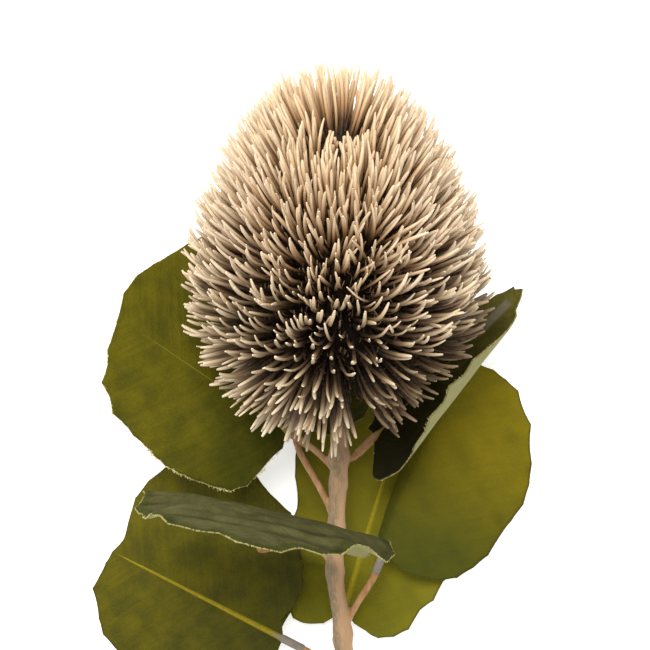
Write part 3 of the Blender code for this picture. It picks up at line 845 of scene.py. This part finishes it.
def leafFabric(name):
    # Printed upper face, paler underside and a ragged pale cut
    look = printOf(name)
    material, g, shader = newFinish(name + "Fabric", {"Roughness": 0.8, "Specular IOR Level": 0.1})
    cut = g.add("ShaderNodeUVMap", {"uv_map": "cut"})
    parts = g.add("ShaderNodeSeparateXYZ", None, {"Vector": cut})
    ahead, across = parts.out("X"), abs(parts.out("Y"))
    reach = ahead / leaves[name]["length"]
    rim, under = attribute(g, "rim"), attribute(g, "under")

    # Blotches, streaks along the side veins, and the speckle of the weave
    mottle = g.noise(cut, 0.085, 4.0, 0.6)
    slant = g.add("ShaderNodeCombineXYZ", None, {
        "X": ahead - across * 0.6, "Y": across * 0.12, "Z": parts.out("Y") * 0.02})
    streaks = g.noise(slant, 0.42, 3.0, 0.6)
    speckle = g.noise(cut, 1.3, 3.0, 0.7)
    top = g.blend(g.ease(mottle + (streaks - 0.5) * 0.32, 0.30, 0.70), look["dark"], look["light"])
    top = g.blend(g.ease(speckle, 0.45, 0.72, 0.0, 0.45), top, look["light"])
    top = g.blend(g.ease(speckle, 0.55, 0.28, 0.0, 0.45), top, look["dark"])
    veins = abs(sine((ahead - across * 0.62) * (math.pi / look["veinGap"])))
    top = g.blend(g.ease(veins, 0.10, 0.0, 0.0, look["veins"]), top, look["rib"])

    # Tint and painted shade at the base, painted shade in creases, a dark band inside the margin,
    # painted sheen in a pale strip, and the rib
    top = g.blend(g.ease(reach, look["baseTintAndShadeEnd"], 0.0), top, top * look["baseTintAndShade"])
    # Painted shade: the cloth is darker where it dips into a crease
    hollow = g.ease(attribute(g, "hollow"), 0.0, -0.7, 0.0, 0.6)
    top = g.blend(hollow, top, top * cloth["hollow"])
    band = g.ease(rim + (streaks - 0.5) * 1.5, 4.4, 2.2, 0.0, look["band"])
    top = g.blend(band, top, top * cloth["band"])
    if look["sheen"]:
        low, high, wide = look["sheen"]
        strip = g.ease(across, wide, wide * 0.3) * g.ease(reach, low, low + 0.10)
        top = g.blend(strip * g.ease(reach, high, high - 0.05) * 0.6, top, cloth["sheen"])
    width = look["ribWidth"] * (1.15 - reach)
    shown = g.ease(across, width * 1.3, width * 0.6, 0.0, look["ribShown"]) * g.ease(reach, 0.94, 0.72)
    top = g.blend(shown, top, look["rib"])

    # Underside, and the cut edge of both
    below = g.blend(mottle, *cloth["below"])
    below = g.blend(g.ease(across, 0.9, 0.4, 0.0, 0.6), below, cloth["belowRib"])
    colour = g.blend(under, top, below)
    colour = g.blend(g.ease(rim, 0.9, 0.3, 0.0, 0.45), colour, cloth["besideCut"])
    ragged = rim + (speckle - 0.5) * 2.0 + (streaks - 0.5) * 1.2
    colour = g.blend(g.ease(ragged, 0.24, 0.04, 0.0, look["edge"]), colour, cloth["cut"])
    g.feed(shader.inputs["Base Color"], colour)
    g.feed(shader.inputs["Normal"], weave(g, parts, streaks))
    return material


def weave(g, parts, streaks):
    # Crossing threads over faint swells
    warp, weft = (sine(parts.out(way) * (math.tau / cloth["weave"])) for way in "XY")
    threads = g.add("ShaderNodeBump", None, {"Strength": 0.5, "Distance": 0.12 * mm, "Height": warp * weft})
    return g.add("ShaderNodeBump", None,
                 {"Strength": 0.5, "Distance": 0.8 * mm, "Height": streaks, "Normal": threads})


def ribFabric(name):
    # Raised rib and the sleeve that it grows out of
    look = printOf(name)
    material, g, shader = newFinish(name + "Rib", {"Roughness": 0.7, "Specular IOR Level": 0.15})
    grain = g.noise(surfacePlace(g), 0.8, 3.0, 0.6)
    rib, wrap = g.blend(grain, look["rib"], look["light"]), g.blend(grain, *look["sleeve"])
    g.feed(shader.inputs["Base Color"], g.blend(attribute(g, "sheath"), rib, wrap))
    return material


def frayThreads():
    material, g, shader = newFinish("frayThreads", {"Roughness": 0.85, "Specular IOR Level": 0.1})
    g.feed(shader.inputs["Base Color"], g.blend(attribute(g, "pale"), *cloth["threads"]))
    return material


def ribTree():
    g, ins = newGeometryTree("rib", [
        ("Sides", "Int", 10),
        ("Flatness", "Float", 0.8),
        ("Finish", "Material", None),
    ])
    curves = g.add("GeometryNodeMeshToCurve", None, {"Mesh": ins.out("Geometry")})
    tube = sweep(g, curves, field(g, "thick"), ins.out("Sides"), ins.out("Flatness"))
    finishTree(g, tube, ins.out("Finish"))
    return g.tree


looseThreads = {
    "spacing": 0.35,
    "points": 240,  # along each margin
    "from": 0.02,  # where on the margin they begin, past the notch
    "calm": 0.25,  # how ragged a margin is beside its ragged stretch
    "least": 0.12,  # share of length outside a clump
    "sunk": 0.15,  # how far inside the margin they start
    "lean": 1.1,
    "rise": (-0.5, 0.7),
    "lengthSpread": (0.3, 1.2),
    "widthSpread": (0.6, 1.3),
}


def frayTree():
    # Loose threads along a blade's margin, in clumps
    dial = looseThreads
    g, ins = newGeometryTree("fray", [
        ("Spacing", "Float", dial["spacing"] * mm),
        ("Length", "Float", 1.0 * mm),
        ("Clumps", "Float", 1.0),
        ("Width", "Float", plainPrint["thread"] * mm),
        ("Seed", "Int", 1),
        ("Finish", "Material", None),
    ])
    margins = g.add("GeometryNodeMeshToCurve", None, {"Mesh": ins.out("Geometry")})
    spots = g.add("GeometryNodeCurveToPoints", {"mode": "LENGTH"},
                  {"Curve": margins, "Length": ins.out("Spacing")})
    spots = stored(g, spots, "thread", g.add("GeometryNodeInputIndex"), "INT")
    spots = stored(g, spots, "root", g.add("GeometryNodeInputPosition"), "FLOAT_VECTOR")
    threads = stored(g, strands(g, spots, 4), "along", g.add("GeometryNodeSplineParameter"))
    reach, number = field(g, "along"), field(g, "thread", "INT")
    root, away = field(g, "root", "FLOAT_VECTOR"), field(g, "away", "FLOAT_VECTOR")
    over, beside = field(g, "over", "FLOAT_VECTOR"), field(g, "beside", "FLOAT_VECTOR")
    seed = ins.out("Seed")
    where, clumps = root * (1 / mm), ins.out("Clumps")
    clump = g.noise(where, 0.16, 2.0) + (g.noise(where, 0.9, 1.0) - 0.5) * 0.6
    clump = g.ease(clump, 0.72 - clumps * 0.4, 0.9 - clumps * 0.3) * field(g, "ragged")
    length = ins.out("Length") * (dial["least"] + clump) * chance(g, number, seed, *dial["lengthSpread"])
    lean = chance(g, number, seed + 1, -dial["lean"], dial["lean"])
    rise = chance(g, number, seed + 2, *dial["rise"])
    run = away + beside * lean * reach + over * (rise * reach)
    place = root + run * (length * reach) - away * (dial["sunk"] * mm)
    threads = g.add("GeometryNodeSetPosition", None, {"Geometry": threads, "Position": place})
    threads = stored(g, threads, "pale", chance(g, number, seed + 3))
    width = ins.out("Width") * chance(g, number, seed + 4, *dial["widthSpread"]) * (1 - reach * 0.5)
    finishTree(g, sweep(g, threads, width, 3, 1.0), ins.out("Finish"))
    return g.tree


def addRoute(name, routes):
    # Loose polylines: each a list of points, and its attributes by name
    points = [p for route, _ in routes for p in route]
    edges, first = [], 0
    for route, _ in routes:
        edges += [(first + i, first + i + 1) for i in range(len(route) - 1)]
        first += len(route)
    mesh = bpy.data.meshes.new(name)
    mesh.from_pydata(placed(points).tolist(), edges, [])
    for key in routes[0][1]:
        values = np.concatenate([np.asarray(extras[key], float) for _, extras in routes])
        kind = "FLOAT" if values.ndim == 1 else "FLOAT_VECTOR"
        made = mesh.attributes.new(key, kind, "POINT")
        made.data.foreach_set("value" if values.ndim == 1 else "vector", values.astype(np.float32).ravel())
    return linked(name, mesh)


def ribRoute(name, leaf):
    # The sleeve behind a leaf's base and its rib, as one run that thins towards the tip
    look = printOf(name)
    ahead = leafTurn(leaf) @ np.array((1.0, 0.0, 0.0))
    x = np.linspace(0.0, leaf["length"] * blade["ribReach"], 40)
    middle = np.zeros_like(x)
    rib = bladePoint(leaf, x, middle, 1) + bladeNormal(leaf, x, middle, 1) * blade["ribRaise"]
    back = np.arange(blade["sleeveLength"], 0.0, -1.0)
    sleeve = np.array(leaf["base"]) - ahead * back[:, None]
    sleeveThick = np.where(back == back[0], blade["sleeveMouth"], blade["sleeveRadius"])
    ribThick = look["ribWidth"] * (1.0 - x / leaf["length"]) * 0.95 + 0.10 * look["ribShown"]
    ribThick = np.maximum(ribThick, blade["sleeveRadius"] * np.clip(1.0 - x / 4.5, 0.0, 1.0) ** 0.8)
    thick = np.concatenate((sleeveThick, ribThick)) * mm
    sheath = np.concatenate((np.ones(len(back)), np.clip(1.0 - x / 5.0, 0.0, 1.0)))
    return np.vstack((sleeve, rib)), {"thick": thick, "sheath": sheath}


def frayRoutes(leaf, frayed):
    # Both margins, and how ragged they are: one stretch of one side may be more so than the rest
    routes = []
    for side in (1, -1):
        u = np.linspace(looseThreads["from"], 1.0, looseThreads["points"])
        ragged = np.ones_like(u)
        if frayed:
            wild, first, last = frayed
            ragged[(side != wild) | (u <= first) | (u >= last)] = looseThreads["calm"]
        x, y = margin(leaf, u, side)
        points = bladePoint(leaf, x, y, side)
        inner = bladePoint(leaf, x + (leaf["length"] / 2 - x) * 0.03, y * 0.97, side)
        away = points - inner
        away /= np.linalg.norm(away, axis=1, keepdims=True)
        beside = np.gradient(points, axis=0)
        beside /= np.linalg.norm(beside, axis=1, keepdims=True)
        over = bladeNormal(leaf, x, y, side)
        routes.append((points, {"away": away, "beside": beside, "over": over, "ragged": ragged}))
    return routes


def makeLeaves():
    ribs, frays, threads = ribTree(), frayTree(), frayThreads()
    for number, (name, leaf) in enumerate(leaves.items()):
        look = printOf(name)
        handOver(addBlade(name.replace("leaf_", "blade_"), leaf, leafFabric(name)), [name], name + "_fabric")
        rib = addRoute("ribRoute", [ribRoute(name, leaf)])
        rib = grown(name.replace("leaf_", "rib_"), rib, ribs, {"Finish": ribFabric(name)})
        handOver(rib, [name], name + "_fabric")
        fray = addRoute("frayRoutes", frayRoutes(leaf, look["frayed"]))
        fray = grown(name.replace("leaf_", "fray_"), fray, frays, {
            "Length": look["fray"] * mm, "Clumps": look["clumps"], "Width": look["thread"] * mm,
            "Seed": number * 10, "Finish": threads})
        handOver(fray, [name], name + "_fabric")


# Stem: one coated branching stem with a petiole to each leaf

stem = {
    "route": ((3.0, -158.5, 3.5), (2.4, -119.4, 10.8), (-0.5, -96.7, 15.6), (0.1, -75.9, 19.8),
              (0.8, -58.8, 23.3), (1.2, -40.5, 28.6)),
    "radiusCut": 3.1,
    "radiusTop": 2.8,
    "sunk": 1.5,  # how far its top goes into the head
    "petioleRadius": 1.3,
    "petioleEase": 0.3,
    "petioleEnd": 0.12,
    "flare": 0.5,  # how much thicker a petiole is where it leaves
    "flareReach": 0.16,
    "gap": 0.3,  # between a petiole's end and the leaf's sleeve
    "grain": 0.42,  # size of the cells that its skin is made with
    "lumps": 0.14,
    "knuckle": 0.55,  # swelling where a petiole leaves
    "knuckleReach": 3.2,
    "knuckleShift": 2.0,  # how far up the stem from the joint it is
    "bark": ((0.165, 0.125, 0.070), (0.40, 0.235, 0.115), (0.42, 0.29, 0.175)),
    "branch": ((0.29, 0.125, 0.040), (0.43, 0.25, 0.115), (0.48, 0.33, 0.19)),
}


def smoothRoute(knots, spans):
    # One smooth curve through all the knots
    knots = [Vector(k) for k in knots]
    ends = [knots[0] * 2 - knots[1], *knots, knots[-1] * 2 - knots[-2]]
    route = []
    for a, b, c, d in zip(ends, ends[1:], ends[2:], ends[3:]):
        for step in range(spans):
            t = step / spans
            route.append((b * 2 + (c - a) * t + (a * 2 - b * 5 + c * 4 - d) * t ** 2
                          + (b * 3 - a - c * 3 + d) * t ** 3) / 2)
    return route + [knots[-1]]


def petioleRoute(leaf, coarse, spans):
    # From the stem into the leaf's sleeve, in one curve
    ahead = Vector(leafTurn(leaf) @ np.array((1.0, 0.0, 0.0)))
    last = Vector(leaf["base"]) - ahead * (blade["sleeveLength"] + stem["gap"])
    end = last - ahead * stem["petioleRadius"]
    near = min(range(1, len(coarse) - 1), key=lambda i: abs(coarse[i].y - leaf["joint"]))
    start = coarse[near]
    along = (coarse[near + 1] - coarse[near - 1]).normalized()
    reach = (end - start).length
    a = start + along * (reach * leaf.get("petioleEase", stem["petioleEase"]))
    b = end - ahead * (reach * stem["petioleEnd"])
    route = []
    for step in range(spans + 1):
        t = step / spans
        route.append(start * (1 - t) ** 3 + a * 3 * t * (1 - t) ** 2
                     + b * 3 * t ** 2 * (1 - t) + end * t ** 3)
    return [*route, last + ahead * 0.6]


def stemRoutes():
    top = Vector(head["centre"]) - Vector(headAxis) * (head["bottom"] - stem["sunk"])
    coarse, fine = smoothRoute([*stem["route"], top], 3), smoothRoute([*stem["route"], top], 24)
    share = np.linspace(0.0, 1.0, len(fine))
    radii = stem["radiusCut"] + (stem["radiusTop"] - stem["radiusCut"]) * share
    for leaf in leaves.values():
        away = np.array([abs(p.y - leaf["joint"] - stem["knuckleShift"]) for p in fine])
        radii = radii + stem["knuckle"] * np.exp(-(away / stem["knuckleReach"]) ** 2)
    routes = [(np.array(fine), {"thick": radii * mm, "twig": np.zeros(len(fine))})]
    for leaf in leaves.values():
        path = petioleRoute(leaf, coarse, 24)
        t = np.linspace(0.0, 1.0, len(path))
        radii = stem["petioleRadius"] * (1.0 + stem["flare"] * np.exp(-(t / stem["flareReach"]) ** 2))
        routes.append((np.array(path), {"thick": radii * mm, "twig": np.clip(t * 5.0, 0.0, 1.0)}))
    return routes


def stemCoat():
    material, g, shader = newFinish("stemCoat", {"Roughness": 0.62, "Specular IOR Level": 0.3})
    parts = g.add("ShaderNodeSeparateXYZ", None, {"Vector": surfacePlace(g)})
    stretched = g.add("ShaderNodeCombineXYZ", None, {
        "X": parts.out("X"), "Y": parts.out("Y") * 0.25, "Z": parts.out("Z")})
    streak, fine = g.noise(stretched, 0.22, 3.0, 0.55), g.noise(stretched, 1.7, 3.0, 0.6)
    dark, light, fleck = stem["bark"]
    # Partly the coat's two tones, partly painted light: lighter and pinker where the skin faces right
    bark = g.blend(g.ease(streak + attribute(g, "facing") * 0.20, 0.25, 0.68), dark, light)
    bark = g.blend(g.ease(fine, 0.35, 0.75, 0.0, 0.55), bark, fleck)
    dark, light, fleck = stem["branch"]
    branch = g.blend(g.ease(streak, 0.35, 0.65), dark, light)
    branch = g.blend(g.ease(fine, 0.45, 0.75, 0.0, 0.4), branch, fleck)
    g.feed(shader.inputs["Base Color"], g.blend(attribute(g, "twig"), bark, branch))
    g.feed(shader.inputs["Normal"], g.add("ShaderNodeBump", None, {
        "Strength": 0.5, "Distance": 0.25 * mm, "Height": fine + streak}))
    return material


def stemTree():
    # Fuses the tubes into one skin by way of a volume, then gives it lumps and ridges
    g, ins = newGeometryTree("stem", [
        ("Grain", "Float", stem["grain"] * mm),
        ("Lumps", "Float", stem["lumps"] * mm),
        ("Finish", "Material", None),
    ])
    curves = g.add("GeometryNodeMeshToCurve", None, {"Mesh": ins.out("Geometry")})
    tubes = sweep(g, curves, field(g, "thick"), 16, 1.0)
    grain = ins.out("Grain")
    volume = g.add("GeometryNodeMeshToVolume", {"resolution_mode": "VOXEL_SIZE"},
                   {"Mesh": tubes, "Density": 1.0, "Voxel Size": grain, "Interior Band Width": grain * 3})
    skin = g.add("GeometryNodeVolumeToMesh", {"resolution_mode": "VOXEL_SIZE"},
                 {"Volume": volume, "Voxel Size": grain, "Threshold": 0.1, "Adaptivity": 0.0})
    near = g.add("GeometryNodeSampleNearestSurface", {"data_type": "FLOAT"},
                 {"Mesh": tubes, "Value": field(g, "twig")})
    skin = stored(g, skin, "twig", near)
    normal = g.add("GeometryNodeInputNormal")
    where = g.add("GeometryNodeInputPosition") * (1 / mm)
    wide = g.noise(where * (1.0, 0.45, 1.0), 0.28, 3.0)
    ridges = g.noise(where * (1.0, 0.22, 1.0), 0.75, 2.0)
    height = ins.out("Lumps") * ((wide - 0.5) * 3 + (ridges - 0.5) * 1.6)
    skin = g.add("GeometryNodeSetPosition", None, {"Geometry": skin, "Offset": normal * height})
    # Which way the skin faces, for the painted light on the stem's right side
    facing = g.add("ShaderNodeSeparateXYZ", None, {"Vector": normal}).out("X")
    finishTree(g, stored(g, skin, "facing", facing), ins.out("Finish"))
    return g.tree


def makeStem():
    piece = grown("stemAndPetioles", addRoute("stemRoutes", stemRoutes()), stemTree(), {"Finish": stemCoat()})
    handOver(piece, ["stem"], "stem_tan")


# Table, light and camera

view = {
    "eye": (0.00497, 0.03173, 0.945),  # in metres, as the lamps' places are
    "lens": 151.05,
    "tableSize": 6.0,
    "paper": 0.86,
    "paperGlow": 0.5,
    "sky": 0.95,
}
lamps = {
    "key": dict(place=(-0.12, 0.50, 1.25), target=(0.0, 0.03, 0.03), size=0.6, power=18.0,
                colour=(1.0, 0.98, 0.95)),
    "fill": dict(place=(-0.9, 0.3, 0.5), target=(0.0, 0.0, 0.03), size=0.8, power=4.0,
                 colour=(1.0, 1.0, 1.0)),
}


def addLamp(name, place, target, size, power, colour):
    lamp = bpy.data.lights.new(name, "AREA")
    lamp.size, lamp.energy, lamp.color = size, power, colour
    item = linked(name, lamp)
    item.location = place
    item.rotation_euler = (Vector(target) - Vector(place)).to_track_quat("-Z", "Y").to_euler()


def makeStudio():
    scene = bpy.context.scene
    side = view["tableSize"] / 2
    corners = [(-side, -side, 0), (side, -side, 0), (side, side, 0), (-side, side, 0)]
    mesh = bpy.data.meshes.new("table")
    mesh.from_pydata(corners, [], [(0, 1, 2, 3)])
    mesh.materials.append(newFinish("tablePaper", {
        "Roughness": 0.9, "Base Color": (view["paper"],) * 3 + (1.0,),
        "Emission Color": (1.0, 1.0, 1.0, 1.0), "Emission Strength": view["paperGlow"]})[0])
    table = linked("table", mesh)

    world = bpy.data.worlds.new("studio")
    world.use_nodes = True
    sky = world.node_tree.nodes["Background"]
    sky.inputs["Color"].default_value = (1.0, 1.0, 1.0, 1.0)
    sky.inputs["Strength"].default_value = view["sky"]
    scene.world = world
    for name, lamp in lamps.items():
        addLamp(name, **lamp)

    lens = bpy.data.cameras.new("camera")
    lens.lens, lens.sensor_width = view["lens"], 36.0
    lens.clip_start, lens.clip_end = 0.01, 20.0
    camera = linked("camera", lens)
    camera.location = view["eye"]
    scene.camera = camera
    scene.view_settings.view_transform = "Standard"


makeHead()
print("head made")
makeLeaves()
print("leaves made")
makeStem()
print("stem made")
makeStudio()
print("studio made")
